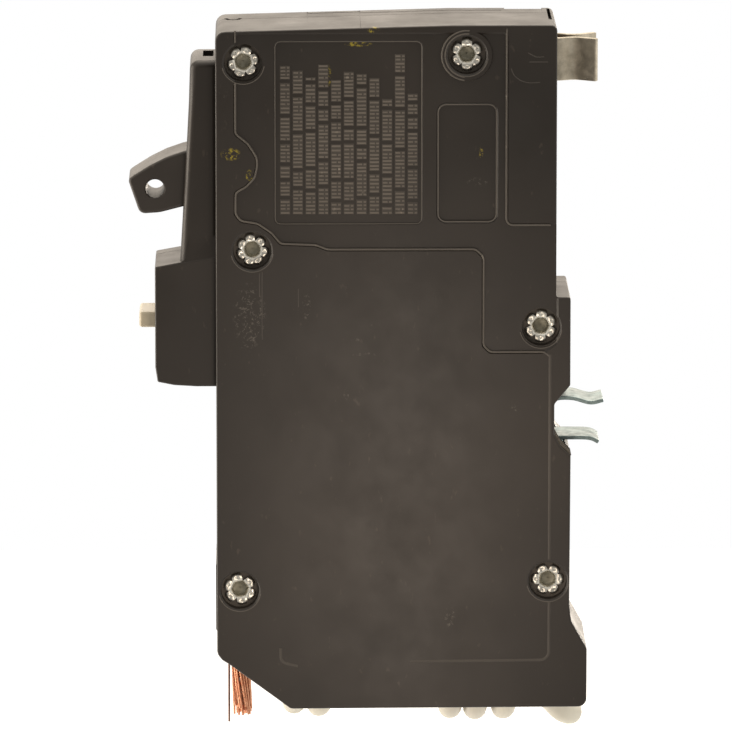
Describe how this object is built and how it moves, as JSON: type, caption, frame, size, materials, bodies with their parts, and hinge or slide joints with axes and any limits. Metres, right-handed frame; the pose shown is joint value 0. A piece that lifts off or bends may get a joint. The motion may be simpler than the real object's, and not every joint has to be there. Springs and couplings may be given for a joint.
{
  "type": "gfci breaker",
  "caption": "Single-pole plug-on circuit breaker with ground-fault protection: toggle handle, test button, bus jaw, rail clip and coiled neutral pigtail.",
  "frame": {"origin": "in the gap of the mounting rail clip, on the case's back plane and in the middle of its thickness", "axes": "+X out of the back towards the panel, +Z towards the line end, Y through the thickness with the cover relief on the -Y side"},
  "size_m": [0.0723, 0.0481, 0.115],
  "materials": {
    "case_molding": "compression-molded phenolic, dark warm brown-black, semi-gloss",
    "barrier_fibre": "vulcanised fibre sheet",
    "rivet_steel": "bright zinc-plated tubular rivets",
    "handle_molding": "molded phenolic, black",
    "pin_steel": "ground steel",
    "cradle_steel": "stamped steel, yellow zinc",
    "spring_wire": "drawn spring wire",
    "copper_strap": "stamped copper",
    "contact_silver": "silver alloy",
    "jaw_tinned": "tin-plated copper alloy, warm grey",
    "spring_steel": "spring strip",
    "arc_steel": "nickel-plated steel plates",
    "arc_fibre": "red-brown fibre",
    "bimetal_strip": "bonded bimetal strip",
    "screw_brass": "turned brass",
    "yoke_steel": "soft steel, dull plated",
    "braid_copper": "woven bare copper",
    "lug_tinned": "tin-plated",
    "screw_steel": "zinc-plated steel",
    "core_green": "coated ferrite ring with fine winding",
    "core_blue": "coated ferrite ring with fine winding",
    "coil_copper": "enamelled copper winding",
    "board_green": "glass-epoxy laminate with solder mask",
    "chip_black": "molded epoxy",
    "varistor_blue": "dipped epoxy",
    "capacitor_blue": "sleeved can",
    "resistor_tan": "lacquered film",
    "button_cream": "molded plastic, cream",
    "leaf_bronze": "phosphor bronze",
    "clip_plated": "zinc-plated spring steel, cool bluish-green cast",
    "grommet_black": "molded strain relief",
    "wire_white": "vinyl insulation, off-white",
    "strand_copper": "bare bright copper strands"
  },
  "bodies": {
    "case": {"case_base": "case_molding", "case_cover": "case_molding", "barrier_wall": "barrier_fibre", "rivets": "rivet_steel", "handle_pin": "pin_steel", "cradle_pin": "pin_steel", "arm_pin": "pin_steel", "fixed_contact": "contact_silver", "line_strap": "copper_strap", "line_jaw_near": "jaw_tinned", "line_jaw_far": "jaw_tinned", "jaw_spring": "spring_steel", "arc_plates": "arc_steel", "arc_holder": "arc_fibre", "bimetal": "bimetal_strip", "calibration_screw": "screw_brass", "magnet_yoke": "yoke_steel", "armature_pin": "pin_steel", "armature_spring": "spring_wire", "arm_braid": "braid_copper", "load_strap": "copper_strap", "neutral_strap": "copper_strap", "load_lug": "lug_tinned", "neutral_lug": "lug_tinned", "sense_transformer": "core_green", "ground_transformer": "core_blue", "solenoid_frame": "yoke_steel", "solenoid_coil": "coil_copper", "plunger_spring": "spring_wire", "circuit_board": "board_green", "control_chip": "chip_black", "thyristor": "chip_black", "varistor": "varistor_blue", "filter_capacitor": "capacitor_blue", "resistors": "resistor_tan", "diodes": "chip_black", "test_leaf": "leaf_bronze", "test_post": "lug_tinned", "rail_clip": "clip_plated", "pigtail_grommet": "grommet_black", "pigtail_lead": "wire_white", "pigtail_coil": "wire_white", "pigtail_tail": "wire_white", "pigtail_strands": "strand_copper"},
    "handle": {"handle": "handle_molding"},
    "cradle": {"cradle": "cradle_steel", "toggle_spring": "spring_wire"},
    "arm": {"contact_arm": "copper_strap", "moving_contact": "contact_silver"},
    "armature": {"armature": "yoke_steel"},
    "plunger": {"plunger": "pin_steel"},
    "button": {"test_button": "button_cream"},
    "load_clamp": {"load_plate": "lug_tinned"},
    "load_turn": {"load_screw": "screw_steel"},
    "neutral_clamp": {"neutral_plate": "lug_tinned"},
    "neutral_turn": {"neutral_screw": "screw_steel"}
  },
  "joints": [
    {"name": "handle_pivot", "type": "hinge", "parent": "case", "child": "handle", "pos_m": [-0.049, 0, 0.0393], "axis": [0, 1, 0], "range_deg": [0, 38]},
    {"name": "arm_pivot", "type": "hinge", "parent": "case", "child": "arm", "pos_m": [-0.0385, 0, 0.04], "axis": [0, 1, 0], "range_deg": [-23, 0]},
    {"name": "cradle_pivot", "type": "hinge", "parent": "case", "child": "cradle", "pos_m": [-0.036, 0, 0.0275], "axis": [0, 1, 0], "range_deg": [0, 10], "stiffness_Nm_per_rad": 0.02, "springref_deg": -17.19},
    {"name": "armature_pivot", "type": "hinge", "parent": "case", "child": "armature", "pos_m": [-0.0189, 0, 0.031], "axis": [0, 1, 0], "range_deg": [-5, 0], "stiffness_Nm_per_rad": 0.01, "springref_deg": 17.19},
    {"name": "plunger_slide", "type": "slide", "parent": "case", "child": "plunger", "axis": [0, 0, 1], "range_m": [0, 0.003], "stiffness_N_per_m": 40, "springref_m": -0.002, "deforming": ["plunger_spring"]},
    {"name": "test_button_press", "type": "slide", "parent": "case", "child": "button", "axis": [1, 0, 0], "range_m": [0, 0.0015], "stiffness_N_per_m": 300, "springref_m": -0.001},
    {"name": "load_clamp_feed", "type": "slide", "parent": "case", "child": "load_clamp", "axis": [1, 0, 0], "range_m": [0, 0.003]},
    {"name": "load_screw_turn", "type": "hinge", "parent": "load_clamp", "child": "load_turn", "pos_m": [-0.0485, -0.0041, -0.0185], "axis": [1, 0, 0], "range_deg": [0, 1350]},
    {"name": "neutral_clamp_feed", "type": "slide", "parent": "case", "child": "neutral_clamp", "axis": [1, 0, 0], "range_m": [0, 0.003]},
    {"name": "neutral_screw_turn", "type": "hinge", "parent": "neutral_clamp", "child": "neutral_turn", "pos_m": [-0.0485, 0.0041, -0.0185], "axis": [1, 0, 0], "range_deg": [0, 1350]}
  ],
  "couplings": [
    {"joint": "arm_pivot", "follows": "handle_pivot", "ratio": -0.58},
    {"joint": "load_screw_turn", "follows": "load_clamp_feed", "rad_per_m": 7854},
    {"joint": "neutral_screw_turn", "follows": "neutral_clamp_feed", "rad_per_m": 7854}
  ]
}
